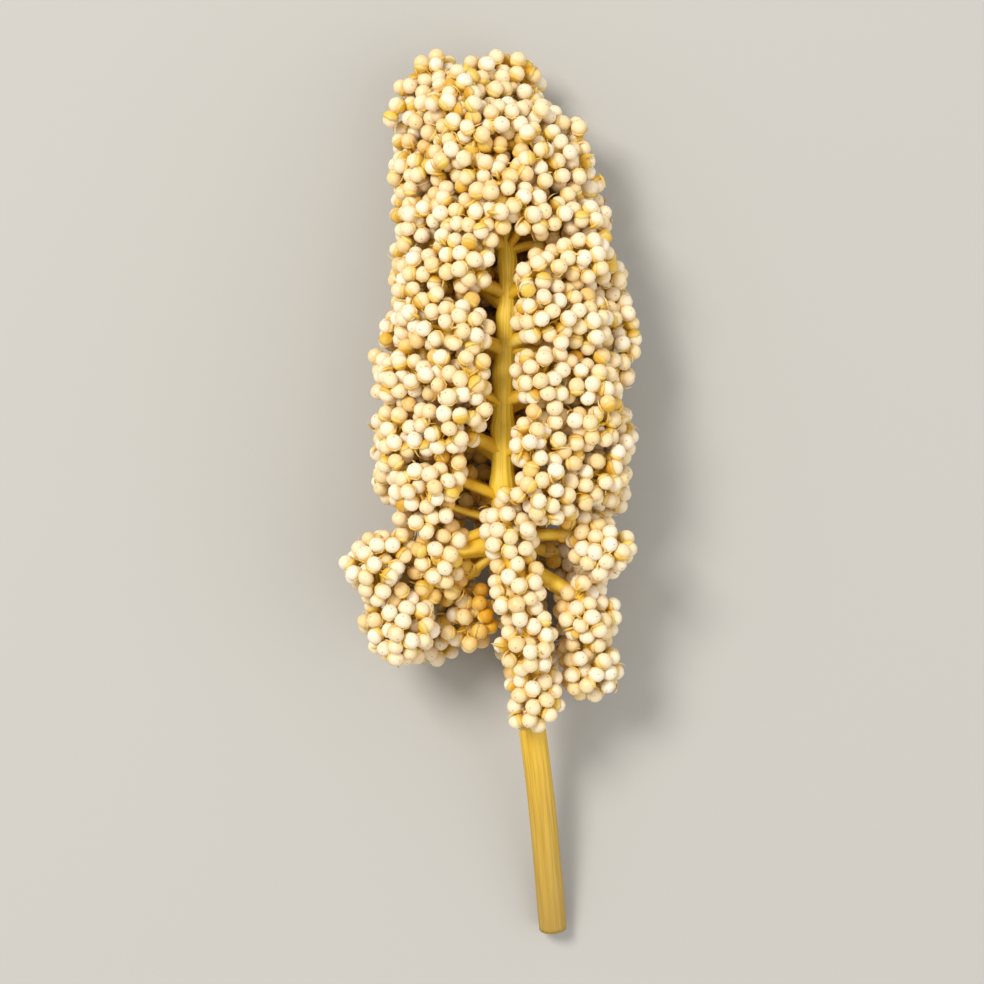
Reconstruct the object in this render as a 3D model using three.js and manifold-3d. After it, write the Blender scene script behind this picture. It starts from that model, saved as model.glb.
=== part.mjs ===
// A ripe sorghum seed head, cut and lying on its back.
//
// One stalk runs from the cut end to the tip. Side branches spring from it in tiers, and each
// forks into two club-shaped lobes of packed grain. The lobes stop short of each other along the
// front of the head, where the bare stalk shows in an open furrow. At the foot of the head a few
// longer branches hang back towards the cut end, each with its lobes in a row.
//
// Millimetres. +Y runs from the cut end to the tip, +Z is up, and the head rests on Z = 0.
import * as THREE from 'three';
import { mergeVertices } from 'three/addons/utils/BufferGeometryUtils.js';
import Module from 'manifold-3d';

// ---------------------------------------------------------------- driving dimensions
const HEAD_FOOT = 48; // the cut end is at 0, and the lowest grain is here
const HEAD_LENGTH = 167; // lowest grain to the tip
const HALF_WIDTH = 34; // widest, to either side of the stalk
const HALF_DEPTH = 23.5; // half the thickness
const STEM_RADIUS = 3.3;
const TIP_RADIUS = 1.1;
const TIER_PITCH = 13; // a lobe is three grains thick
const CORE_RADIUS = 5.5; // only bare branches inside this distance of the stalk
const FORWARD = 5; // the stalk lies this far in front of the middle of the head
const BRANCH_RADIUS = 1; // a bare side branch where it leaves the stem
const GAP = 0.35; // clear space between neighbouring pieces
const PRESSED = 1.4; // how far the lowest lobes are pressed flat
const FULLER = 4; // how much wider each lobe is than its share, so that it meets its neighbours

// ---------------------------------------------------------------- the stalk's line
// Nearly straight through the head, with the tip nodding to the left and the stem to the right.
// The stem sinks to the surface at its cut end, and the tip sinks a little way too.
const MIDDLE = HALF_DEPTH - PRESSED + FORWARD; // the stalk's height at the widest tier
const stalkLine = new THREE.CatmullRomCurve3([
  new THREE.Vector3(9, 0, STEM_RADIUS - 0.1),
  new THREE.Vector3(6, 32, MIDDLE - 15),
  new THREE.Vector3(2, 62, MIDDLE - 6),
  new THREE.Vector3(-2.5, 92, MIDDLE - 1),
  new THREE.Vector3(-3, 125, MIDDLE),
  new THREE.Vector3(-2, 158, MIDDLE - 2),
  new THREE.Vector3(-5.5, 184, MIDDLE - 6),
  new THREE.Vector3(-12, 204, MIDDLE - 10),
]);

// The share of the line's length at a distance y along the head.
function shareAt(y) {
  let low = 0;
  let high = 1;
  while (high - low > 1e-4) {
    const middle = (low + high) / 2;
    if (stalkLine.getPointAt(middle).y < y) low = middle;
    else high = middle;
  }
  return low;
}

const stalkAt = (y) => stalkLine.getPointAt(shareAt(y));
const stalkRadius = (share) => THREE.MathUtils.lerp(STEM_RADIUS, TIP_RADIUS, share ** 2);

// ---------------------------------------------------------------- the head's outline
// The share of its full width and depth that the head has, against the share of its length.
const fullness = new THREE.SplineCurve(
  [
    [0, 0.5],
    [0.15, 0.86],
    [0.3, 0.97],
    [0.46, 1],
    [0.57, 0.95],
    [0.7, 0.85],
    [0.82, 0.72],
    [0.9, 0.59],
    [0.96, 0.44],
    [1, 0.24],
  ].map(([along, share]) => new THREE.Vector2(along, share)),
).getPoints(80);

function fullnessAt(y) {
  const along = (y - HEAD_FOOT) / HEAD_LENGTH;
  const next = Math.max(1, fullness.findIndex((point) => point.x >= along));
  const [a, b] = [fullness[next - 1], fullness[next]];
  return THREE.MathUtils.mapLinear(along, a.x, b.x, a.y, b.y);
}

// ---------------------------------------------------------------- geometry and solids
const wasm = await Module();
wasm.setup();

function solidOf(geometry) {
  const bare = geometry.clone();
  bare.deleteAttribute('normal');
  bare.deleteAttribute('uv');
  const merged = mergeVertices(bare, 1e-4);
  const corners = merged.index.array;
  const faces = [];
  for (let i = 0; i < corners.length; i += 3) {
    const [a, b, c] = corners.slice(i, i + 3);
    if (a !== b && b !== c && c !== a) faces.push(a, b, c);
  }
  return new wasm.Manifold(
    new wasm.Mesh({
      numProp: 3,
      vertProperties: merged.getAttribute('position').array,
      triVerts: new Uint32Array(faces),
    }),
  );
}

function geometryOf(solid) {
  const { vertProperties, triVerts } = solid.getMesh();
  const geometry = new THREE.BufferGeometry();
  geometry.setAttribute('position', new THREE.BufferAttribute(vertProperties, 3));
  geometry.setIndex(new THREE.BufferAttribute(triVerts, 1));
  geometry.computeVertexNormals();
  return geometry;
}

// A round bar along a curve, its radius a function of the share of the length.
function bentBar(curve, radiusAt, sides, rings) {
  const bar = new THREE.CylinderGeometry(1, 1, 1, sides, rings);
  const frames = curve.computeFrenetFrames(rings);
  const places = bar.getAttribute('position');
  const place = new THREE.Vector3();
  for (let i = 0; i < places.count; i++) {
    place.fromBufferAttribute(places, i);
    const along = place.y + 0.5;
    const ring = Math.round(along * rings);
    const centre = curve.getPointAt(along);
    centre.addScaledVector(frames.binormals[ring], place.x * radiusAt(along));
    centre.addScaledVector(frames.normals[ring], place.z * radiusAt(along));
    places.setXYZ(i, centre.x, centre.y, centre.z);
  }
  return solidOf(bar);
}

// A lobe's shape at unit size: pointed where its branch enters, and blunt at the outer end.
const club = new THREE.LatheGeometry(
  [
    [0, -1],
    [0.8, -0.55],
    [1, 0.15],
    [0.75, 0.76],
    [0, 1],
  ].map(([radius, along]) => new THREE.Vector2(radius, along)),
  8,
);

const LENGTHWISE = new THREE.Vector3(0, 1, 0);

// A lobe from its root to its end. width is measured round the stalk, and thickness along it.
function makeLobe(root, end, width, thickness) {
  const axis = end.clone().sub(root).normalize();
  const round = new THREE.Vector3().crossVectors(LENGTHWISE, axis);
  if (round.length() < 0.35) {
    const outward = end.clone().sub(stalkAt(end.y));
    round.crossVectors(axis, outward.setY(0).normalize());
  }
  round.normalize();
  const through = new THREE.Vector3().crossVectors(round, axis);
  const centre = root.clone().lerp(end, 0.5);
  const size = new THREE.Vector3(width / 2, root.distanceTo(end) / 2, thickness / 2);
  const place = new THREE.Matrix4().makeBasis(round, axis, through).scale(size);
  return { centre, axis, solid: solidOf(club.clone().applyMatrix4(place.setPosition(centre))) };
}

// ---------------------------------------------------------------- the branches
// Each branch holds its lobes and its bare part, one bent line for each arm of the fork. A line
// starts inside the stalk, turns outwards at its elbow and passes through the lobes it carries.
const branches = [];

function addBranch(name, springsAt, lobes, arms) {
  const spring = stalkAt(springsAt);
  const lines = arms.map((carried) => {
    const [first] = carried;
    const elbow = spring.clone().lerp(first.centre, 0.45);
    elbow.y = THREE.MathUtils.lerp(spring.y, first.centre.y, 0.7);
    return new THREE.CatmullRomCurve3([spring, elbow, ...carried.map((lobe) => lobe.centre)]);
  });
  const thick = BRANCH_RADIUS * (stalkRadius(shareAt(springsAt)) / STEM_RADIUS) ** 0.7;
  branches.push({ name, lobes, lines, thick });
}

// The tiers, from the foot of the head to the tip: how many lobes stand round the stalk, how far
// each one climbs from its root to its end, and how far from the stalk the furrow's left and right
// banks are. The furrow is widest at the foot and closed in the top three tiers, where turn says
// how far the first lobe's near side is from the front.
const tiers = [
  { count: 8, climb: -2, banks: [21, 6.5] },
  { count: 10, climb: 0, banks: [12, 6.5] },
  { count: 10, climb: 2, banks: [10, 6.5] },
  { count: 10, climb: 3, banks: [10, 6] },
  { count: 10, climb: 4, banks: [9, 6] },
  { count: 8, climb: 6, banks: [5, 3.5] },
  { count: 8, climb: 8, turn: -0.34 },
  { count: 6, climb: 11, turn: 0.1 },
  { count: 4, climb: 16, turn: 0.4 },
];
const FIRST_TIER = 105;

tiers.forEach(({ count, climb, banks, turn }, tier) => {
  const y = FIRST_TIER + tier * TIER_PITCH;
  const share = fullnessAt(y);
  const [width, depth] = [HALF_WIDTH * share, HALF_DEPTH * share];
  const [left, right] = banks ? banks.map((bank) => Math.asin(bank / width)) : [turn, -turn];
  const start = Math.PI * 0.5 + left;
  const finish = Math.PI * 2.5 - right;
  const ring = new THREE.EllipseCurve(0, 0, width, depth, start, finish);
  const spacing = ring.getLength() / count;
  const lobes = [];
  for (let i = 0; i < count; i++) {
    const { x, y: z } = ring.getPointAt((i + 0.5) / count);
    const uneven = 2.4 * Math.sin(2.4 * i + 1.9 * tier);
    const reach = 0.97 + 0.03 * Math.sin(3.7 * i + 2.3 * tier);
    const outward = new THREE.Vector3(x * reach, 0, z * reach - FORWARD);
    const end = stalkAt(y).add(outward);
    const root = stalkAt(y - climb).addScaledVector(outward.normalize(), CORE_RADIUS * share);
    end.y += uneven;
    root.y += uneven;
    lobes.push(makeLobe(root, end, spacing + FULLER, TIER_PITCH + FULLER));
  }
  for (let i = 0; i < count; i += 2) {
    const springsAt = y - climb - 7 - (i % 4);
    const pair = lobes.slice(i, i + 2);
    addBranch(`tier_${tier + 1}_branch_${i / 2 + 1}`, springsAt, pair, [[pair[0]], [pair[1]]]);
  }
});

// The hanging branches. turn is the angle round the stalk, out the distance from it, foot the
// height of the lowest lobe's end, and splay the angle each lobe leans out from straight down.
const hangers = [
  { name: 'hanging_left', turn: 172, out: 37, foot: 67, count: 2, splay: 48, width: 22 },
  { name: 'hanging_left_inner', turn: 168, out: 21, foot: 81, count: 2, splay: 18, width: 17 },
  { name: 'hanging_left_low', turn: 190, out: 15, foot: 66, count: 2, splay: 12, width: 14 },
  { name: 'hanging_middle', turn: 88, out: 12, foot: 48, count: 4, splay: 8, width: 16 },
  { name: 'hanging_right', turn: 10, out: 18, foot: 55, count: 2, splay: 14, width: 19 },
  { name: 'hanging_right_upper', turn: 12, out: 29, foot: 85, count: 1, splay: 42, width: 19 },
  { name: 'hanging_back_right', turn: -42, out: 24, foot: 66, count: 2, splay: 20, width: 17 },
  { name: 'hanging_back', turn: -88, out: 15, foot: 57, count: 3, splay: 8, width: 17 },
  { name: 'hanging_back_left', turn: -150, out: 29, foot: 63, count: 2, splay: 24, width: 18 },
];
const HANGERS_SPRING = 93;
const HANGER_LENGTH = 20;

for (const { name, turn, out, foot, count, splay, width } of hangers) {
  const angle = THREE.MathUtils.degToRad(turn);
  const lean = THREE.MathUtils.degToRad(splay);
  const outward = new THREE.Vector3(Math.cos(angle), 0, Math.sin(angle));
  const hang = outward.clone().multiplyScalar(Math.sin(lean)).setY(-Math.cos(lean));
  const lobes = [];
  for (let i = count - 1; i >= 0; i--) {
    const low = foot + i * TIER_PITCH;
    const end = stalkAt(low).addScaledVector(outward, out - 1.5 * Math.abs(i - 1)).setY(low);
    const root = end.clone().addScaledVector(hang, -HANGER_LENGTH);
    lobes.push(makeLobe(root, end, width, width - 1));
  }
  addBranch(name, HANGERS_SPRING, lobes, [lobes]);
}

// ---------------------------------------------------------------- fitting the pieces together
const stalk = bentBar(stalkLine, stalkRadius, 10, 26);
const roundStalk = bentBar(stalkLine, (share) => stalkRadius(share) + GAP, 10, 26);

function bareBranch({ lines, thick }, clear) {
  const arms = lines.map((line) => bentBar(line, () => thick + clear, 5, line.points.length));
  return arms.reduce((whole, arm) => whole.add(arm));
}

for (const branch of branches) {
  branch.bar = bareBranch(branch, 0);
  branch.roundBar = bareBranch(branch, GAP);
}

// The share of a lobe on its own side of the flat that parts it from a neighbour's lobe.
function partedFrom(lobe, other, solid) {
  const between = other.centre.clone().sub(lobe.centre);
  const mean = lobe.axis.clone().add(other.axis);
  const normal = between.clone();
  if (mean.length() > 1.2) normal.projectOnPlane(mean.normalize());
  if (normal.length() < between.length() * 0.4) normal.copy(between);
  normal.normalize();
  const middle = lobe.centre.clone().lerp(other.centre, 0.5);
  const reach = normal.dot(middle) - GAP / 2;
  return solid.trimByPlane(normal.clone().negate().toArray(), -reach);
}

function meet(a, b) {
  const [one, two] = [a.boundingBox(), b.boundingBox()];
  const apart = [0, 1, 2].some((i) => one.min[i] > two.max[i] || two.min[i] > one.max[i]);
  return !apart && a.intersect(b).volume() > 0;
}

// The branch as one solid: its bare part and its lobes, cut back from everything beside them.
function fitted(branch) {
  let whole = branch.bar.subtract(roundStalk);
  for (const earlier of branches.slice(0, branches.indexOf(branch))) {
    if (meet(whole, earlier.roundBar)) whole = whole.subtract(earlier.roundBar);
  }
  for (const lobe of branch.lobes) {
    let solid = lobe.solid.trimByPlane([0, 0, 1], 0).subtract(roundStalk);
    for (const neighbour of branches) {
      if (neighbour === branch) continue;
      for (const other of neighbour.lobes) {
        if (meet(lobe.solid, other.solid)) solid = partedFrom(lobe, other, solid);
      }
      if (meet(solid, neighbour.roundBar)) solid = solid.subtract(neighbour.roundBar);
    }
    whole = whole.add(solid);
  }
  return whole;
}

// ---------------------------------------------------------------- the seed head
const straw = new THREE.MeshStandardMaterial({ color: 0xd9ab2a, roughness: 0.6, metalness: 0 });
const grain = new THREE.MeshStandardMaterial({ color: 0xf3e3b5, roughness: 0.5, metalness: 0 });

const seedHead = new THREE.Group();

function addPiece(name, solid, material) {
  const piece = new THREE.Mesh(geometryOf(solid), material);
  piece.name = name;
  seedHead.add(piece);
}

addPiece('stalk', stalk, straw);
for (const branch of branches) addPiece(branch.name, fitted(branch), grain);

// The origin is on the surface, under the middle of the head.
const box = new THREE.Box3().setFromObject(seedHead);
const middle = box.getCenter(new THREE.Vector3());
for (const piece of seedHead.children) piece.position.set(-middle.x, -middle.y, -box.min.z);

export default seedHead;
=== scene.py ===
# %% [markdown]
# # A ripe sorghum seed head
#
# A sorghum head is a panicle: one stalk, side branches in tiers, thin branchlets on those, and at
# the end of every branchlet a round grain held in a small husk. This one is a pale, ripe head, cut
# and laid on its back, so that the open furrow along its front looks up.
#
# The frame that is loaded first holds a plain solid for every side branch. It is right in size and
# place, but it is only the room that the grain fills. Each one is replaced here by what grows in
# it: grains, husks, empty scales and branchlets. Everything is in metres, with the tip towards +Y.

# %% Load the frame
from itertools import combinations

import bmesh
import bpy
import numpy as np
from mathutils import Euler, Matrix, Quaternion, Vector
from mathutils.bvhtree import BVHTree


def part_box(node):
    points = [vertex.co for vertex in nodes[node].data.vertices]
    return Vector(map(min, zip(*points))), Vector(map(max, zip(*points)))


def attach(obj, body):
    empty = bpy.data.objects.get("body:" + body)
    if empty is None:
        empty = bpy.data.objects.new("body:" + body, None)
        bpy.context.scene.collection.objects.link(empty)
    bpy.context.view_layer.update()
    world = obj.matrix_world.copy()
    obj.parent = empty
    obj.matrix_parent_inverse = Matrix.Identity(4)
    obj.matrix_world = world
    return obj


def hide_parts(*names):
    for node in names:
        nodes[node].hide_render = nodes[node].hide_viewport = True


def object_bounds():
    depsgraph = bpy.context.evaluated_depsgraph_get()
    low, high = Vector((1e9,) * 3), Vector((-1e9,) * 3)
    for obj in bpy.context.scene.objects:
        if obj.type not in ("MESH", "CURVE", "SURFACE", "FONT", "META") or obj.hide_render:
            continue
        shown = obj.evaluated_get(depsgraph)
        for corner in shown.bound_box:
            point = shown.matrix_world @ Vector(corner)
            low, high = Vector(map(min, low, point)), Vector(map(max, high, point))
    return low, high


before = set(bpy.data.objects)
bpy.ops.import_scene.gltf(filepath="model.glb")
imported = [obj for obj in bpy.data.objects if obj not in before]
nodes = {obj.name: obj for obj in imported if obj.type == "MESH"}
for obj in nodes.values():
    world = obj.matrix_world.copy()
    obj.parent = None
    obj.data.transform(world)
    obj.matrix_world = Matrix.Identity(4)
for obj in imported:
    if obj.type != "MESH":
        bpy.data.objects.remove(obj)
cad_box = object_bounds()
branch_names = sorted(name for name in nodes if name != "stalk")
print("branches:", len(branch_names))

# %% [markdown]
# ## Real sizes
#
# A sorghum grain is about 4 mm across and nearly round. Everything else is measured against it:
# the husk hides the lowest third of it, and the branchlet that carries it is a fifth as thick as a
# match.

# %% Sizes
MM = 0.001
GRAIN_RADIUS = 2.0 * MM
GRAIN_SPACING = 3.55 * MM  # ripe grains press on each other a little
SPACING_SPREAD = 0.05
PEDICEL_RADIUS = 0.21 * MM  # the last, thinnest part of a branchlet
GRAINS_ON_A_TWIG = 6
LAYER_STEP = 0.85 * GRAIN_SPACING  # less than the spacing, because grains settle into hollows
GRAIN_DEPTHS = (GRAIN_RADIUS, GRAIN_RADIUS + LAYER_STEP)  # two layers of grain below the skin
rng = np.random.default_rng(7)

# %% [markdown]
# ## The line of the stalk
#
# Branches start on the stalk, grains near it are more sheltered, and the stalk itself is rebuilt
# with ribs and joints. All three need its centre line. The plain stalk is a bent bar whose corners
# stand in rings, and the rings are far apart, so sorting the corners along Y and starting a new
# ring at each gap finds them.

# %% Find the centre line and the radius of the stalk
RING_GAP = 3 * MM


def corners_of(node):
    """All corners of a plain solid, with none twice."""
    corners = np.array([v.co for v in nodes[node].data.vertices])
    return np.unique(corners.round(6), axis=0)


def rings_of(corners):
    """Centre and radius of each ring of corners, from the cut end to the tip."""
    corners = corners[np.argsort(corners[:, 1])]
    breaks = np.nonzero(np.diff(corners[:, 1]) > RING_GAP)[0] + 1
    rings = np.split(corners, breaks)
    centres = np.array([ring.mean(axis=0) for ring in rings])
    radii = [np.linalg.norm(ring - c, axis=1).max() for ring, c in zip(rings, centres)]
    return centres, np.array(radii)


ring_centres, ring_radii = rings_of(corners_of("stalk"))


def stalk_centre(y):
    """Points on the centre line at distances y along the head."""
    columns = [np.interp(y, ring_centres[:, 1], ring_centres[:, i]) for i in range(3)]
    return np.stack(columns, axis=-1)


def stalk_radius(y):
    return np.interp(y, ring_centres[:, 1], ring_radii)


def from_stalk(points):
    """How far each point is from the centre line."""
    return np.linalg.norm(points - stalk_centre(points[:, 1]), axis=1)


print("stalk rings:", len(ring_centres), "radius mm:", (ring_radii / MM).round(2)[[0, -1]])

# %% [markdown]
# ## Where the grains sit
#
# The grains of a lobe are packed like berries. They could be laid out by hand or by physics, but a
# rule does it well: spread many trial centres one grain radius below the skin of the plain solid,
# take one, and then keep taking the free centre that is nearest to a grain already there. Each new
# grain then touches its neighbours, as ripe ones do. The branches are packed one after another, and
# each keeps clear of the grains of those before it. A second layer goes in below the first, so that
# a gap between two grains shows a third grain and not the dark.

# %% Trial centres below the skin of a solid
TRIALS_PER_MM2 = 2.2
LEAST_ROOM = 0.55  # a share of the depth that was asked for
CLEAR_OF_STALK = 3.6 * MM  # from the stalk's surface to a grain's centre
TINY = 0.01 * MM


def triangles_of(node):
    mesh = nodes[node].data
    mesh.calc_loop_triangles()
    corners = np.array([v.co for v in mesh.vertices])
    return corners[np.array([t.vertices[:] for t in mesh.loop_triangles])]


def skin_tree(triangles):
    flat = [Vector(corner) for corner in triangles.reshape(-1, 3)]
    faces = [(i, i + 1, i + 2) for i in range(0, len(flat), 3)]
    return BVHTree.FromPolygons(flat, faces)


def room_inside(tree, point):
    """How far the point is from the skin, less than zero outside it."""
    at, way, _, gap = tree.find_nearest(point)
    return gap if way.dot(at - point) > 0 else -gap


def trial_centres(triangles, depth):
    """Places for a grain's centre, at a depth below the skin, and the way the skin faces there."""
    sides = np.cross(triangles[:, 1] - triangles[:, 0], triangles[:, 2] - triangles[:, 0])
    twice_area = np.linalg.norm(sides, axis=1)
    count = int(twice_area.sum() / 2 / MM**2 * TRIALS_PER_MM2)
    chosen = rng.choice(len(triangles), count, p=twice_area / twice_area.sum())
    share = rng.random((count, 2))
    share[share.sum(axis=1) > 1] = 1 - share[share.sum(axis=1) > 1]
    a, b, c = (triangles[chosen, i] for i in range(3))
    skin = a + (b - a) * share[:, :1] + (c - a) * share[:, 1:]
    outward = sides[chosen] / twice_area[chosen, None]
    centres = skin - outward * depth
    tree = skin_tree(triangles)
    room = np.array([room_inside(tree, Vector(centre)) for centre in centres])
    clear = from_stalk(centres) > stalk_radius(centres[:, 1]) + CLEAR_OF_STALK
    least = min(depth, depth * LEAST_ROOM) - TINY
    fits = (room > least) & clear & (centres[:, 2] > GRAIN_RADIUS)
    return centres[fits], outward[fits]


# %% Pack the grains of a branch
def pack(centres, outward, others):
    """The centres that are taken, each one beside the ones before it, and their outward ways."""
    nearest = np.full(len(centres), np.inf)
    for other in others:
        nearest = np.minimum(nearest, np.linalg.norm(centres - other, axis=1))
    taken = []
    while True:
        reach = GRAIN_SPACING * rng.uniform(1 - SPACING_SPREAD, 1 + SPACING_SPREAD)
        free = nearest >= reach
        if not free.any():
            return centres[taken], outward[taken]
        pick = int(np.argmin(np.where(free, nearest, np.inf)))
        taken.append(pick)
        nearest = np.minimum(nearest, np.linalg.norm(centres - centres[pick], axis=1))


packed = {}


def add_grains(name, centres, outward):
    """Pack more grains into a branch, clear of every grain that is already there."""
    if len(centres) == 0:
        return
    low, high = centres.min(axis=0) - GRAIN_SPACING, centres.max(axis=0) + GRAIN_SPACING
    placed = np.concatenate([np.empty((0, 3))] + [points for points, _ in packed.values()])
    others = placed[((placed > low) & (placed < high)).all(axis=1)]
    new_centres, new_outward = pack(centres, outward, others)
    old_centres, old_outward = packed.get(name, (np.empty((0, 3)), np.empty((0, 3))))
    packed[name] = (
        np.concatenate([old_centres, new_centres]),
        np.concatenate([old_outward, new_outward]),
    )


for depth in GRAIN_DEPTHS:
    for name in branch_names:
        add_grains(name, *trial_centres(triangles_of(name), depth))
    print("grains packed:", sum(len(centres) for centres, _ in packed.values()))

# %% [markdown]
# Two lobes that touch leave a notch between them, and on a ripe head some grain swells into it. A
# notch is where a point lies just outside two skins that face each other, and the same packing
# closes the bottom of it. The furrow has to stay open, so nothing is added near the stalk there.
# Above the furrow the lobes close over the stalk, and the notches are filled twice.

# %% Fill the notches between lobes
NOTCH_HEIGHTS = (0.3 * MM, 1.5 * MM)  # how far outside the skin the new grains' centres are
NOTCH_REACH = 1.9 * MM  # how near both skins have to be
OPPOSED = 0.3 * MM  # how far each skin has to be in front of the other
FURROW = 12 * MM  # nothing is added nearer to the stalk's centre line than this
CLOSED_TIP = 42 * MM
FURROW_TOP = cad_box[1][1] - CLOSED_TIP
everything = skin_tree(np.concatenate([triangles_of(name) for name in branch_names]))


def in_a_notch(centre):
    """Whether the centre is outside, and close to two skins that face each other."""
    hits = [(at, way) for at, way, _, _ in everything.find_nearest_range(centre, NOTCH_REACH)]
    facing = [(at, way) for at, way in hits if way.dot(centre - at) > 0]
    return any(
        (a - b).dot(way_b) > OPPOSED and (b - a).dot(way_a) > OPPOSED
        for (a, way_a), (b, way_b) in combinations(facing, 2)
    )


for height in NOTCH_HEIGHTS:
    for name in branch_names:
        centres, outward = trial_centres(triangles_of(name), -height)
        above = centres[:, 1] > FURROW_TOP
        beside = (from_stalk(centres) > FURROW) & (height == NOTCH_HEIGHTS[0])
        centres, outward = centres[above | beside], outward[above | beside]
        notched = np.array([in_a_notch(Vector(centre)) for centre in centres], bool)
        add_grains(name, centres[notched], outward[notched])
    print("grains packed:", sum(len(centres) for centres, _ in packed.values()))

# %% [markdown]
# Grains between two branches, where nothing can see them, only cost time. Lines drawn from a grain
# in all directions show how open its place is: the share of them that leave the head without
# meeting another branch. A grain with no such line is dropped. The number is kept for the rest,
# because it sets painted shade: a grain deep in the head is coloured golden, and one in the open
# stays pale.

# %% Measure how open each grain's place is
PAST_THE_SKIN = 0.1 * MM
ball = bmesh.new()
bmesh.ops.create_icosphere(ball, subdivisions=2, radius=1)
LOOKS = [v.co.copy() for v in ball.verts]
ball.free()


def openness(centre):
    """The share of lines that cross the skin of the grain's own lobe and meet nothing after it."""
    free = 0
    for look in LOOKS:
        skin = everything.ray_cast(centre, look)[0]
        if skin is None or everything.ray_cast(skin + look * PAST_THE_SKIN, look)[0] is None:
            free += 1
    return free / len(LOOKS)


opened = {}
for name, (centres, outward) in packed.items():
    shares = np.array([openness(Vector(centre)) for centre in centres])
    seen = shares > 0
    packed[name] = (centres[seen], outward[seen])
    opened[name] = shares[seen]
every_share = np.concatenate(list(opened.values()))
print("grains kept:", len(every_share))
print("openness:", np.percentile(every_share, [5, 25, 50, 75, 95]).round(2))

# %% [markdown]
# ## Building blocks
#
# Materials are chains of shader nodes. One small function adds a node, sets what it is given and
# links any socket it is given. Colours are written as hex values, which are sRGB, and Blender works
# in linear light, so one function converts them.

# %% Helpers for materials and meshes
FACTOR, FIRST, SECOND, MIXED = 0, 6, 7, 2  # the sockets of a Mix node that mixes colours


def colour(hex_value):
    """An sRGB hex value as a linear colour."""
    channels = [int(hex_value[i : i + 2], 16) / 255 for i in (1, 3, 5)]
    linear = [c / 12.92 if c <= 0.04045 else ((c + 0.055) / 1.055) ** 2.4 for c in channels]
    return (*linear, 1)


def add_node(tree, kind, inputs, stops=(), **settings):
    """A new shader node. An input that is a socket is linked, and any other is set."""
    node = tree.nodes.new("ShaderNode" + kind)
    for key, value in settings.items():
        setattr(node, key, value)
    for key, value in inputs.items():
        if isinstance(value, bpy.types.NodeSocket):
            tree.links.new(value, node.inputs[key])
        else:
            node.inputs[key].default_value = value
    for i, (position, hex_value) in enumerate(stops):
        elements = node.color_ramp.elements
        element = elements[i] if i < len(elements) else elements.new(1)
        element.position = position
        element.color = colour(hex_value)
    return node


def new_material(name):
    """An empty material and its tree of nodes."""
    material = bpy.data.materials.new(name)
    material.use_nodes = True
    material.node_tree.nodes.clear()
    return material, material.node_tree


def finished_piece(name, mesh, material, slot, *replaced):
    """A piece made of a mesh that is already in place. It rides on the head's one body."""
    mesh.materials.clear()
    mesh.materials.append(material)
    mesh.shade_smooth()
    piece = bpy.data.objects.new(name, mesh)
    bpy.context.scene.collection.objects.link(piece)
    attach(piece, "root")
    if replaced:
        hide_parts(*replaced)
    return piece


# %% [markdown]
# ## The grain's finish
#
# A sorghum grain is starch in a thin waxy skin. The skin is smooth and a little glossy, and light
# goes a short way in, which is why a pale grain looks soft. The grain is ivory. Grains whose place
# is closed in, and those in the furrow below its lip, get painted shade that turns them golden.
# So each grain carries a number for how much shade is painted on it, and a second one at random
# for its own tone. A third runs from its foot to its tip, where the dried flower leaves a small
# brown dot. The mottling is drawn about a quarter of a grain across, and the wrinkles a tenth.

# %% Material: waxy grain skin
waxy_grain, tree = new_material("waxy_grain_skin")
where = add_node(tree, "TexCoord", {}).outputs["Object"]
shade = add_node(tree, "Attribute", {}, attribute_name="shade").outputs["Fac"]
# The next attribute carries painted shade: how far each grain's colour is turned golden.
painted_shade = add_node(tree, "Attribute", {}, attribute_name="painted_shade").outputs["Fac"]
along = add_node(tree, "Attribute", {}, attribute_name="along").outputs["Fac"]

unshaded_grain = add_node(
    tree,
    "ValToRGB",
    {"Fac": shade},
    stops=[(0, "#F0D59C"), (0.3, "#F8E3BA"), (0.7, "#FCEFD8"), (1, "#F4DBAE")],
)
# Painted shade: the golden colour that a shaded grain is turned to.
golden = add_node(
    tree, "ValToRGB", {"Fac": shade}, stops=[(0, "#E0A51E"), (0.5, "#EDBB32"), (1, "#F2CC55")]
)
skin = add_node(
    tree,
    "Mix",
    {FACTOR: painted_shade, FIRST: unshaded_grain.outputs["Color"], SECOND: golden.outputs["Color"]},
    data_type="RGBA",
)
foot = add_node(tree, "MapRange", {"Value": along, "From Min": 0.6, "From Max": 0.1})
skin = add_node(
    tree,
    "Mix",
    {FACTOR: foot.outputs[0], FIRST: skin.outputs[MIXED], SECOND: colour("#E8BE4C")},
    data_type="RGBA",
)
mottle = add_node(tree, "TexNoise", {"Vector": where, "Scale": 1 / (1.1 * MM), "Detail": 3})
mottled = add_node(
    tree, "ValToRGB", {"Fac": mottle.outputs["Fac"]}, stops=[(0.3, "#EAD9A8"), (0.6, "#FFFFFF")]
)
skin = add_node(
    tree,
    "Mix",
    {FACTOR: 0.3, FIRST: skin.outputs[MIXED], SECOND: mottled.outputs["Color"]},
    data_type="RGBA",
    blend_type="MULTIPLY",
)
dot = add_node(tree, "MapRange", {"Value": along, "From Min": 0.976, "From Max": 1, "To Max": 0.85})
skin = add_node(
    tree,
    "Mix",
    {FACTOR: dot.outputs[0], FIRST: skin.outputs[MIXED], SECOND: colour("#8A6430")},
    data_type="RGBA",
)
wrinkle = add_node(tree, "TexNoise", {"Vector": where, "Scale": 1 / (0.4 * MM), "Detail": 2})
bump = add_node(
    tree, "Bump", {"Height": wrinkle.outputs["Fac"], "Strength": 0.25, "Distance": 0.05 * MM}
)
gloss = add_node(
    tree, "MapRange", {"Value": mottle.outputs["Fac"], "To Min": 0.34, "To Max": 0.58}
)
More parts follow.
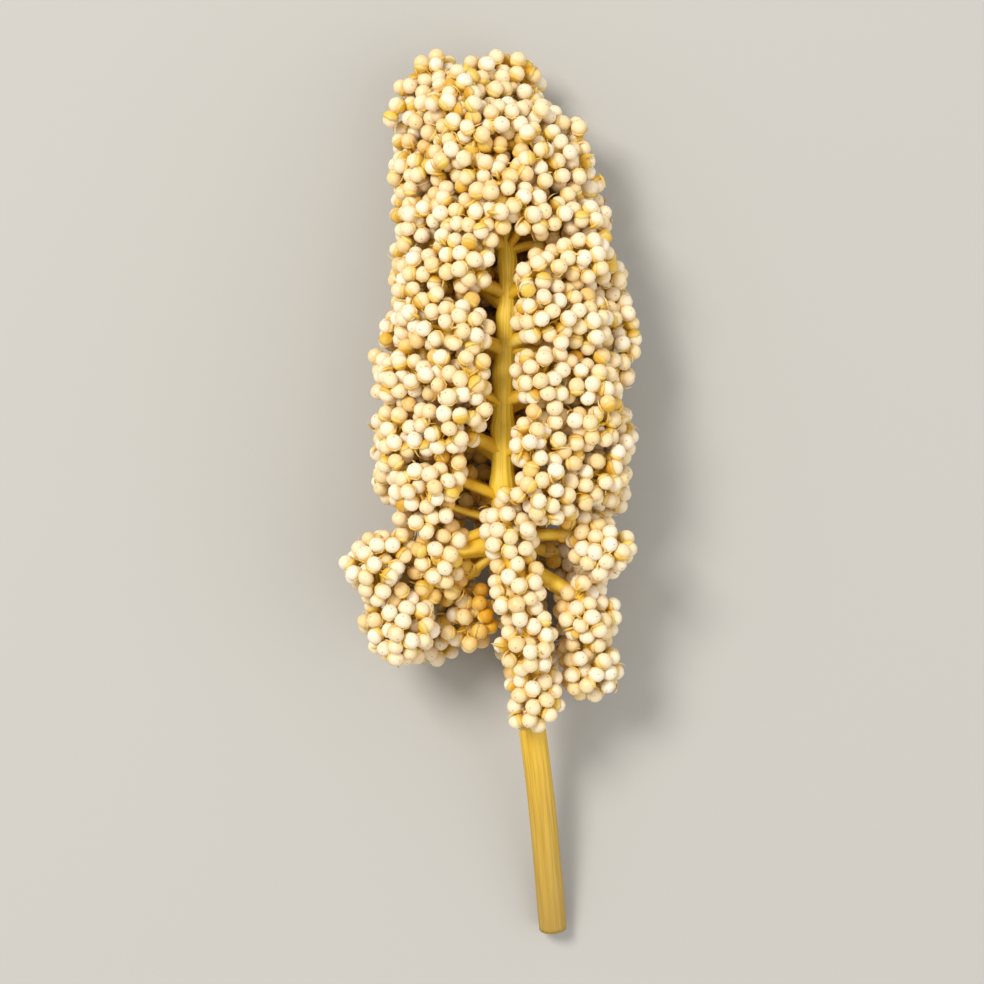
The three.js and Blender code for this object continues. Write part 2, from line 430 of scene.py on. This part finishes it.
shader = add_node(
    tree,
    "BsdfPrincipled",
    {
        "Base Color": skin.outputs[MIXED],
        "Roughness": gloss.outputs[0],
        "Normal": bump.outputs["Normal"],
        "IOR": 1.47,
        "Subsurface Weight": 0.22,
        "Subsurface Radius": (1.0, 0.7, 0.4),
        "Subsurface Scale": 0.8 * MM,
    },
)
add_node(tree, "OutputMaterial", {"Surface": shader.outputs["BSDF"]})
print("made:", waxy_grain.name)

# %% [markdown]
# ## The husk's finish
#
# The husk is two stiff scales. They are straw yellow, thin and shiny, paler at the rim where they
# are thinnest, with fibres about two thirds of a millimetre apart.

# %% Material: dry husk
dry_husk, tree = new_material("dry_husk")
where = add_node(tree, "TexCoord", {}).outputs["Object"]
shade = add_node(tree, "Attribute", {}, attribute_name="shade").outputs["Fac"]
along = add_node(tree, "Attribute", {}, attribute_name="along").outputs["Fac"]
straw = add_node(
    tree, "ValToRGB", {"Fac": shade}, stops=[(0, "#CF9A25"), (0.4, "#E2B233"), (1, "#EECA58")]
)
rim = add_node(tree, "MapRange", {"Value": along, "From Min": 0.35, "From Max": 1})
straw = add_node(
    tree,
    "Mix",
    {FACTOR: rim.outputs[0], FIRST: straw.outputs["Color"], SECOND: colour("#F2DC92")},
    data_type="RGBA",
)
fibre = add_node(tree, "TexNoise", {"Vector": where, "Scale": 1 / (0.65 * MM), "Detail": 3})
bump = add_node(
    tree, "Bump", {"Height": fibre.outputs["Fac"], "Strength": 0.4, "Distance": 0.08 * MM}
)
gloss = add_node(tree, "MapRange", {"Value": fibre.outputs["Fac"], "To Min": 0.35, "To Max": 0.6})
shader = add_node(
    tree,
    "BsdfPrincipled",
    {
        "Base Color": straw.outputs[MIXED],
        "Roughness": gloss.outputs[0],
        "Normal": bump.outputs["Normal"],
        "Subsurface Weight": 0.1,
        "Subsurface Radius": (1.0, 0.8, 0.4),
        "Subsurface Scale": 0.5 * MM,
    },
)
add_node(tree, "OutputMaterial", {"Surface": shader.outputs["BSDF"]})
print("made:", dry_husk.name)

# %% [markdown]
# ## The branchlets' finish
#
# Thin branches dry to a strong golden yellow with a satin skin. Patches a few millimetres long are
# a little darker, and fine fibres run through it.

# %% Material: dry golden branch
golden_branch, tree = new_material("dry_golden_branch")
where = add_node(tree, "TexCoord", {}).outputs["Object"]
patches = add_node(tree, "TexNoise", {"Vector": where, "Scale": 1 / (4 * MM), "Detail": 4})
gold = add_node(
    tree,
    "ValToRGB",
    {"Fac": patches.outputs["Fac"]},
    stops=[(0.3, "#E3AE26"), (0.5, "#F5C938"), (0.7, "#FAD95E")],
)
fibre = add_node(tree, "TexNoise", {"Vector": where, "Scale": 1 / (0.45 * MM), "Detail": 2})
bump = add_node(
    tree, "Bump", {"Height": fibre.outputs["Fac"], "Strength": 0.5, "Distance": 0.08 * MM}
)
gloss = add_node(tree, "MapRange", {"Value": patches.outputs["Fac"], "To Min": 0.4, "To Max": 0.6})
shader = add_node(
    tree,
    "BsdfPrincipled",
    {
        "Base Color": gold.outputs["Color"],
        "Roughness": gloss.outputs[0],
        "Normal": bump.outputs["Normal"],
    },
)
add_node(tree, "OutputMaterial", {"Surface": shader.outputs["BSDF"]})
print("made:", golden_branch.name)

# %% [markdown]
# ## One grain, one husk and one empty scale
#
# There are thousands of grains, so one grain has only a few dozen faces and smooth shading does the
# rest. It starts as an icosphere, because its faces are all alike and show no pole, and is squeezed
# a little into the husk at its foot. The husk is spun from a short profile: up the outside of the
# grain to a rim, and back down inside it, so that it is closed. The two scales are made by raising
# the rim on two sides. Beside many a grain stands an empty flower that set no seed. It is a thin,
# pointed scale, made from a five-sided cone that is cut across, swelled at the middle and flattened.

# %% Model one of each, for a grain of radius 1
GRAIN_OBLATE = 0.93
FOOT_SQUEEZE = 0.14
HUSK_PROFILE = [(0, -1.1), (0.52, -0.98), (0.9, -0.64), (1.04, -0.3), (0.9, -0.34), (0, -0.6)]
HUSK_STEPS = 8
RIM_ABOVE = -0.5  # corners above this height belong to the rim
RIM_RAISE = 0.2
WELD = 0.001
SCALE_LENGTH = 1.9
SCALE_FOOT = -1.1  # the height where it starts
SCALE_ENDS = (0.1, 0.02)  # its radius at the foot and at the point
SCALE_SWELL = 3
SCALE_FLATNESS = 0.35
SCALE_AWAY = 1.06  # how far from the grain's middle it stands
SCALE_BOW = 0.25


def grain_mesh():
    bm = bmesh.new()
    bmesh.ops.create_icosphere(bm, subdivisions=2, radius=1)
    for v in bm.verts:
        squeeze = 1 - FOOT_SQUEEZE * max(0, -v.co.z)
        v.co.x *= squeeze
        v.co.y *= squeeze * GRAIN_OBLATE
    mesh = bpy.data.meshes.new("grain")
    bm.to_mesh(mesh)
    bm.free()
    return mesh


def husk_mesh():
    bm = bmesh.new()
    profile = [bm.verts.new((x, 0, z)) for x, z in HUSK_PROFILE]
    edges = [bm.edges.new(pair) for pair in zip(profile, profile[1:])]
    bmesh.ops.spin(
        bm,
        geom=profile + edges,
        cent=(0, 0, 0),
        axis=(0, 0, 1),
        angle=2 * np.pi,
        steps=HUSK_STEPS,
        use_merge=True,
    )
    bmesh.ops.remove_doubles(bm, verts=bm.verts[:], dist=WELD)
    for v in bm.verts:
        two_waves = np.cos(2 * np.arctan2(v.co.y, v.co.x))
        if v.co.z > RIM_ABOVE:
            v.co.z += RIM_RAISE * two_waves**2 * np.sign(two_waves)
        v.co.y *= GRAIN_OBLATE
    bmesh.ops.recalc_face_normals(bm, faces=bm.faces[:])
    mesh = bpy.data.meshes.new("husk")
    bm.to_mesh(mesh)
    bm.free()
    return mesh


def empty_scale_mesh():
    bm = bmesh.new()
    foot, point = SCALE_ENDS
    bmesh.ops.create_cone(
        bm, cap_ends=True, segments=5, radius1=foot, radius2=point, depth=SCALE_LENGTH
    )
    sides = [e for e in bm.edges if abs(e.verts[0].co.z - e.verts[1].co.z) > SCALE_LENGTH / 2]
    bmesh.ops.subdivide_edges(bm, edges=sides, cuts=2)
    for v in bm.verts:
        share = v.co.z / SCALE_LENGTH + 0.5
        swell = 1 + SCALE_SWELL * np.sin(np.pi * share) ** 2
        v.co.x *= swell
        v.co.y *= swell * SCALE_FLATNESS
        v.co.y += SCALE_AWAY + SCALE_BOW * np.sin(np.pi * share)
        v.co.z += SCALE_FOOT + SCALE_LENGTH / 2
    mesh = bpy.data.meshes.new("empty_scale")
    bm.to_mesh(mesh)
    bm.free()
    return mesh


one_grain = grain_mesh()
one_husk = husk_mesh()
one_scale = empty_scale_mesh()
for shape in (one_grain, one_husk, one_scale):
    print(shape.name, "faces:", len(shape.polygons))


# %% Repeat one shape for every grain of a branch
def height_shares(mesh):
    """How far each corner is from the foot of the shape to its top, from 0 to 1."""
    heights = np.array([v.co.z for v in mesh.vertices])
    return (heights - heights.min()) / np.ptp(heights)


def repeated(name, shape, placings, shades, painted_shade_amounts):
    """One mesh with a copy of the shape at each placing, and the copies' own numbers on it."""
    bm = bmesh.new()
    for placing in placings:
        copy = shape.copy()
        copy.transform(placing)
        bm.from_mesh(copy)
        bpy.data.meshes.remove(copy)
    mesh = bpy.data.meshes.new(name)
    bm.to_mesh(mesh)
    bm.free()
    corners = len(shape.vertices)
    values = {
        "shade": np.repeat(shades, corners),
        "painted_shade": np.repeat(painted_shade_amounts, corners),
        "along": np.tile(height_shares(shape), len(placings)),
    }
    for key, value in values.items():
        mesh.attributes.new(key, "FLOAT", "POINT").data.foreach_set("value", value)
    return mesh


# %% [markdown]
# ## Branchlets
#
# Six or so grains share a twig. The twigs join, and the joined branch gets thicker, until one
# branch reaches the stalk. Growing this from the grains backwards keeps every grain attached: the
# grains are gathered in groups, each group gets a fork below its middle, and each fork is tied to
# the nearest one already joined to the stalk. A branch that feeds more grains is thicker, by the
# square root of their number, so that the cross-sections add up.

# %% Gather grains into groups, with a fork below each
SETTLING_ROUNDS = 6
FORK_DEPTH = 1.6 * MM  # from the feet of a group's grains to their fork


def gather(points, count):
    """The group number of each point. Groups start far apart and settle on their middles."""
    middles = [points[0]]
    for _ in range(count - 1):
        away = np.min([np.linalg.norm(points - m, axis=1) for m in middles], axis=0)
        middles.append(points[int(np.argmax(away))])
    middles = np.array(middles)
    for _ in range(SETTLING_ROUNDS):
        group = np.argmin(np.linalg.norm(points[:, None] - middles[None], axis=2), axis=1)
        for i in range(count):
            if (group == i).any():
                middles[i] = points[group == i].mean(axis=0)
    return group


def forks_below(centres, outward, feet):
    """Where the forks are, and the number of the fork that each grain hangs on."""
    groups = gather(centres, max(1, round(len(centres) / GRAINS_ON_A_TWIG)))
    _, fork_of = np.unique(groups, return_inverse=True)
    forks = []
    for i in range(fork_of.max() + 1):
        members = fork_of == i
        lean = outward[members].mean(axis=0)
        forks.append(feet[members].mean(axis=0) - lean * FORK_DEPTH)
    return np.array(forks), fork_of


# %% Join the forks to the stalk
WAY_TO_STALK = 0.6  # how much the way that is already joined counts against a new step
SPRING_BELOW = 1.5 * MM  # a branch leaves the stalk this far below where its plain solid starts


def spring_of(name):
    """Where a side branch leaves the stalk."""
    corners = corners_of(name)
    nearest = int(np.argmin(from_stalk(corners)))
    return stalk_centre(corners[nearest, 1] - SPRING_BELOW)


def join(forks, spring):
    """Joints in the order they are made, the one each hangs on, and which fork each one is."""
    joined, paths, parents, order = [spring], [0.0], [-1], []
    waiting = list(range(len(forks)))
    while waiting:
        options = []
        for w in waiting:
            for j, point in enumerate(joined):
                step = np.linalg.norm(forks[w] - point)
                options.append((step + WAY_TO_STALK * paths[j], w, j, step))
        _, w, j, step = min(options)
        waiting.remove(w)
        order.append(w)
        joined.append(forks[w])
        paths.append(paths[j] + step)
        parents.append(j)
    return joined, parents, order


# %% Draw the strands of one side branch
BRANCH_POINTS = 6
PEDICEL_POINTS = 4
BRANCH_SWEEP = 0.5  # how strongly a strand sets out the way the one before it was going
PEDICEL_SWEEP = 0.6
BRANCH_TAPER = 1.15
PEDICEL_TAPER = 1.2
STALK_STEP = 2 * MM


def bent_strand(a, b, leaves, arrives, thick_a, thick_b, points):
    """Points from a to b on a smooth curve that leaves and arrives in the given directions."""
    span = np.linalg.norm(b - a)
    strand = []
    for t in np.linspace(0, 1, points):
        leave = (t - 2 * t**2 + t**3) * span
        arrive = (t**3 - t**2) * span
        blend = 3 * t**2 - 2 * t**3
        point = a * (1 - blend) + b * blend + leaves * leave + arrives * arrive
        strand.append((point, thick_a + (thick_b - thick_a) * t))
    return strand


def grown_branch(name, centres, outward):
    """Strands of one side branch, each a list of (point, radius), from the stalk to the grains."""
    feet = centres - outward * GRAIN_RADIUS
    forks, fork_of = forks_below(centres, outward, feet)
    spring = spring_of(name)
    joined, parents, order = join(forks, spring)

    loads = np.bincount(fork_of)
    carried = [0] + [loads[w] for w in order]
    for i in range(len(joined) - 1, 0, -1):
        carried[parents[i]] += carried[i]

    rise = stalk_centre(spring[1] + STALK_STEP) - spring
    headings = [rise / np.linalg.norm(rise)]
    strands = []
    for i in range(1, len(joined)):
        a, b = joined[parents[i]], joined[i]
        headings.append((b - a) / np.linalg.norm(b - a))
        leaves = headings[parents[i]] * BRANCH_SWEEP
        thick = PEDICEL_RADIUS * np.sqrt(carried[i] + 1)
        strands.append(
            bent_strand(a, b, leaves, headings[i], thick * BRANCH_TAPER, thick, BRANCH_POINTS)
        )
    joint_of_fork = {w: i + 1 for i, w in enumerate(order)}
    thick = PEDICEL_RADIUS * PEDICEL_TAPER
    for foot, out, fork in zip(feet, outward, fork_of):
        j = joint_of_fork[fork]
        leaves = headings[j] * PEDICEL_SWEEP
        strands.append(
            bent_strand(joined[j], foot, leaves, out, thick, PEDICEL_RADIUS, PEDICEL_POINTS)
        )
    return strands


# %% Turn strands into a mesh
def strands_mesh(name, strands):
    """Round strands as one mesh. A curve with a round bevel keeps them even along bends."""
    curve = bpy.data.curves.new(name, "CURVE")
    curve.dimensions = "3D"
    curve.bevel_depth = 1
    curve.bevel_resolution = 0
    curve.use_fill_caps = True
    for strand in strands:
        spline = curve.splines.new("POLY")
        spline.points.add(len(strand) - 1)
        for point, (place, thick) in zip(spline.points, strand):
            point.co = (*place, 1)
            point.radius = thick
    holder = bpy.data.objects.new(name, curve)
    mesh = bpy.data.meshes.new_from_object(holder)
    mesh.name = name
    bpy.data.objects.remove(holder)
    bpy.data.curves.remove(curve)
    return mesh


# %% [markdown]
# ## Fill every branch
#
# Each grain points out of its lobe, tilted and turned by chance. Its painted shade is high where
# its place is closed in, and in the furrow below its lip. Grains that lie on the floor have no
# empty scale beside them, because it would have been pressed off.

# %% Grow all the branches
SIZE_RANGE = (0.93, 1.03)
TILT = 0.3  # radians
# Painted shade goes from none to full between these two opennesses.
FULL_SHADE_OPENNESS = 0.06  # openness where a grain is wholly sheltered
NO_SHADE_OPENNESS = 0.36  # and where it has no shelter
BESIDE_STALK = 7 * MM
AWAY_FROM_STALK = 15 * MM
FURROW_LIP = 4 * MM  # above the stalk's centre line
WITH_EMPTY_SCALE = 0.4  # the share of grains that have one beside them
LIFTED = 3.5 * MM  # grains with their centre below this height lie on the floor


def grain_placings(centres, outward, sizes):
    placings = []
    for centre, out, size in zip(centres, outward, sizes):
        tilt = Euler(rng.normal(0, TILT, 3)).to_quaternion()
        point = Vector(out).to_track_quat("Z", "Y")
        spin = Quaternion((0, 0, 1), rng.uniform(0, 2 * np.pi))
        turn = (tilt @ point @ spin).to_matrix().to_4x4()
        placings.append(Matrix.Translation(centre) @ turn @ Matrix.Scale(size, 4))
    return placings


total = 0
for name in branch_names:
    centres, outward = packed[name]
    sizes = GRAIN_RADIUS * rng.uniform(*SIZE_RANGE, len(centres))
    shades = rng.random(len(centres))
    # Painted shade: more where the grain's place is closed in, and in the furrow below its lip.
    recess_shade = (NO_SHADE_OPENNESS - opened[name]) / (NO_SHADE_OPENNESS - FULL_SHADE_OPENNESS)
    near_stalk = (AWAY_FROM_STALK - from_stalk(centres)) / (AWAY_FROM_STALK - BESIDE_STALK)
    below_lip = centres[:, 2] < stalk_centre(centres[:, 1])[:, 2] + FURROW_LIP
    furrow_shade = near_stalk * (below_lip & (centres[:, 1] < FURROW_TOP))
    painted_shade_amounts = np.clip(np.maximum(recess_shade, furrow_shade), 0, 1)
    placings = grain_placings(centres, outward, sizes)
    grains = repeated(name + "_grains", one_grain, placings, shades, painted_shade_amounts)
    husks = repeated(name + "_husks", one_husk, placings, shades[::-1], painted_shade_amounts)
    kept_scale = (rng.random(len(centres)) < WITH_EMPTY_SCALE) & (centres[:, 2] > LIFTED)
    beside = np.nonzero(kept_scale)[0]
    scales = repeated(
        name + "_empty_scales",
        one_scale,
        [placings[i] for i in beside],
        shades[beside],
        painted_shade_amounts[beside],
    )
    twigs = strands_mesh(name + "_branchlets", grown_branch(name, centres, outward))
    finished_piece(grains.name, grains, waxy_grain, "grain", name)
    finished_piece(husks.name, husks, dry_husk, "branch")
    finished_piece(scales.name, scales, dry_husk, "branch")
    finished_piece(twigs.name, twigs, golden_branch, "branch")
    total += sum(len(mesh.polygons) for mesh in (grains, husks, scales, twigs))
print("faces in the branches:", total)

# %% [markdown]
# ## The stalk
#
# The stalk is a dry grass stem: round, with fine ribs along it, and thickened where branches
# leave. It starts as a cylinder of unit size. Cuts across it give rings to bend, every ring is
# moved on to the centre line, and the ribs and joints are added to its radius there. The cut end
# is inset and sunk a little, because the soft pith shrinks as it dries. A number on its corners
# tells the pith from the hard rind, and a second attribute keeps each corner's place on the stalk
# as it was before it was bent, for fibres that follow the bends. The three ways that a ring is
# laid out along are right-handed, or the stalk would be mirrored and its faces would look inward.

# %% Model the stalk
STALK_SIDES = 48
STALK_RINGS = 200
BARE_RADIUS = 0.97  # this and the heights are shares of the plain stalk's radius
RIBS = 14
RIB_HEIGHT = 0.03
RIB_SWAY = 1.5  # radians
RIB_SWAY_LENGTH = 20 * MM
JOINT_HEIGHT = 0.2
JOINT_PITCH = 13 * MM
JOINT_PLACE = 6 * MM
JOINT_LENGTH = 2.2 * MM
RIND = 0.14
PITH_INSET = 0.4
PITH_EDGE = 0.95  # corners nearer to the middle than this are pith
PITH_SUNK = 0.0018  # a share of the stalk's length
STEM_RADIUS = float(ring_radii[0])
HEAD_STARTS = min(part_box(name)[0].y for name in branch_names)


def stalk_mesh():
    bm = bmesh.new()
    bmesh.ops.create_cone(bm, cap_ends=True, segments=STALK_SIDES, radius1=1, radius2=1, depth=1)
    upright = [e for e in bm.edges if abs(e.verts[0].co.z - e.verts[1].co.z) > 0.5]
    bmesh.ops.subdivide_edges(bm, edges=upright, cuts=STALK_RINGS)
    cut_face = min(bm.faces, key=lambda f: f.calc_center_median().z)
    bmesh.ops.inset_individual(bm, faces=[cut_face], thickness=RIND)
    bmesh.ops.inset_individual(bm, faces=[cut_face], thickness=RIND / 2, depth=-PITH_SUNK)
    bmesh.ops.inset_individual(bm, faces=[cut_face], thickness=PITH_INSET, depth=PITH_SUNK / 3)
    pith = [float(v.co.xy.length < PITH_EDGE) for v in bm.verts]
    first, last = ring_centres[0, 1], ring_centres[-1, 1]
    straight = []
    for v in bm.verts:
        y = first + (v.co.z + 0.5) * (last - first)
        centre = Vector(stalk_centre(y))
        ahead = Vector(stalk_centre(min(y + MM, last)) - stalk_centre(max(y - MM, first)))
        ahead.normalize()
        side = Vector((0, 0, 1)).cross(ahead).normalized()
        up = ahead.cross(side)
        turn = np.arctan2(v.co.y, v.co.x)
        reach = v.co.xy.length
        straight.append((v.co.x * STEM_RADIUS, v.co.y * STEM_RADIUS, y))
        rib = RIB_HEIGHT * np.sin(RIBS * turn + RIB_SWAY * np.sin(y / RIB_SWAY_LENGTH))
        joint = 0.0
        if y > HEAD_STARTS:
            from_joint = (y - HEAD_STARTS) % JOINT_PITCH - JOINT_PLACE
            joint = JOINT_HEIGHT * np.exp(-((from_joint / JOINT_LENGTH) ** 2))
        radius = float(stalk_radius(y)) * (BARE_RADIUS + rib + joint) * reach
        v.co = centre + (side * np.cos(turn) + up * np.sin(turn)) * radius
    mesh = bpy.data.meshes.new("stalk_skin")
    bm.to_mesh(mesh)
    bm.free()
    mesh.attributes.new("pith", "FLOAT", "POINT").data.foreach_set("value", pith)
    unbent = mesh.attributes.new("unbent", "FLOAT_VECTOR", "POINT")
    unbent.data.foreach_set("vector", np.ravel(straight))
    return mesh


# %% [markdown]
# ## The stalk's finish
#
# Inside the head the stalk is kept from the weather and stays bright yellow. The bare stem below
# is duller, a brownish straw. Fibres run along it, about half a millimetre apart round it and many
# times as long, which a Mapping node gives by squeezing the pattern along the stalk. The pith is
# pale and matt.

# %% Material: dry grass stem
DULL_LENGTH = 100 * MM  # from the cut end to where the stalk is brightest
FIBRE_SQUEEZE = 0.03
dry_stem, tree = new_material("dry_grass_stem")
where = add_node(tree, "TexCoord", {}).outputs["Object"]
pith = add_node(tree, "Attribute", {}, attribute_name="pith").outputs["Fac"]
along_stem = add_node(tree, "SeparateXYZ", {"Vector": where}).outputs["Y"]
unbent = add_node(tree, "Attribute", {}, attribute_name="unbent").outputs["Vector"]
squeezed = add_node(tree, "Mapping", {"Vector": unbent, "Scale": (1, 1, FIBRE_SQUEEZE)})
streaks = add_node(
    tree,
    "TexNoise",
    {"Vector": squeezed.outputs["Vector"], "Scale": 1 / (0.5 * MM), "Detail": 4},
)
cut_end = cad_box[0][1]
bared = add_node(
    tree,
    "MapRange",
    {"Value": along_stem, "From Min": cut_end, "From Max": cut_end + DULL_LENGTH},
)
stem = add_node(
    tree,
    "ValToRGB",
    {"Fac": bared.outputs[0]},
    stops=[(0, "#B8963F"), (0.3, "#D0AA3C"), (0.55, "#F2C536"), (1, "#FFDD48")],
)
streaked = add_node(
    tree, "ValToRGB", {"Fac": streaks.outputs["Fac"]}, stops=[(0.35, "#CBAE72"), (0.6, "#FFFFFF")]
)
stem = add_node(
    tree,
    "Mix",
    {FACTOR: 0.45, FIRST: stem.outputs["Color"], SECOND: streaked.outputs["Color"]},
    data_type="RGBA",
    blend_type="MULTIPLY",
)
stem = add_node(
    tree,
    "Mix",
    {FACTOR: pith, FIRST: stem.outputs[MIXED], SECOND: colour("#E6D8B0")},
    data_type="RGBA",
)
bump = add_node(
    tree, "Bump", {"Height": streaks.outputs["Fac"], "Strength": 0.6, "Distance": 0.15 * MM}
)
gloss = add_node(tree, "MapRange", {"Value": streaks.outputs["Fac"], "To Min": 0.38, "To Max": 0.6})
shader = add_node(
    tree,
    "BsdfPrincipled",
    {
        "Base Color": stem.outputs[MIXED],
        "Roughness": gloss.outputs[0],
        "Normal": bump.outputs["Normal"],
    },
)
add_node(tree, "OutputMaterial", {"Surface": shader.outputs["BSDF"]})
stalk = finished_piece("stalk_skin", stalk_mesh(), dry_stem, "stalk", "stalk")
print("stalk faces:", len(stalk.data.polygons))

# %% [markdown]
# ## Floor, light and camera
#
# The head lies on a plain pale surface. The main light comes from the upper left, low enough to
# model every grain, and a wide soft one fills the other side. The camera looks straight down, with
# the tip up, which is the side that shows the furrow.

# %% Floor
FLOOR_REACH = 40  # metres, so that its edge is never seen
floor_bm = bmesh.new()
bmesh.ops.create_grid(floor_bm, x_segments=1, y_segments=1, size=FLOOR_REACH)
floor_mesh = bpy.data.meshes.new("floor")
floor_bm.to_mesh(floor_mesh)
floor_bm.free()
floor = bpy.data.objects.new("floor", floor_mesh)
bpy.context.scene.collection.objects.link(floor)
paper, tree = new_material("pale_paper")
shader = add_node(tree, "BsdfPrincipled", {"Base Color": colour("#B9B7B1"), "Roughness": 0.9})
add_node(tree, "OutputMaterial", {"Surface": shader.outputs["BSDF"]})
floor_mesh.materials.append(paper)


# %% Lights
ROOM_LIGHT = 0.62


def area_light(name, place, size, power, tint):
    data = bpy.data.lights.new(name, "AREA")
    data.size = size
    data.energy = power
    data.color = tint
    light = bpy.data.objects.new(name, data)
    light.location = place
    light.rotation_euler = (-Vector(place)).to_track_quat("-Z", "Y").to_euler()
    bpy.context.scene.collection.objects.link(light)


area_light("key", (-0.9, 0.75, 1.75), 0.7, 32, (1.0, 0.96, 0.91))
area_light("fill", (1.6, -0.6, 1.8), 2.4, 18, (0.97, 0.98, 1.0))
bpy.context.scene.view_settings.view_transform = "Standard"
world = bpy.data.worlds.new("room")
world.use_nodes = True
world.node_tree.nodes["Background"].inputs["Color"].default_value = (1, 1, 1, 1)
world.node_tree.nodes["Background"].inputs["Strength"].default_value = ROOM_LIGHT
bpy.context.scene.world = world
print("lights: key and fill, in a room of strength", ROOM_LIGHT)

# %% Camera
LENS = 122
CAMERA_HEIGHT = 0.8  # metres
low, high = (Vector(corner) for corner in cad_box)
middle = (low + high) / 2
camera_data = bpy.data.cameras.new("camera")
camera_data.lens = LENS
camera = bpy.data.objects.new("camera", camera_data)
camera.location = (middle.x, middle.y, CAMERA_HEIGHT)
bpy.context.scene.collection.objects.link(camera)
bpy.context.scene.camera = camera
print("camera height:", CAMERA_HEIGHT)
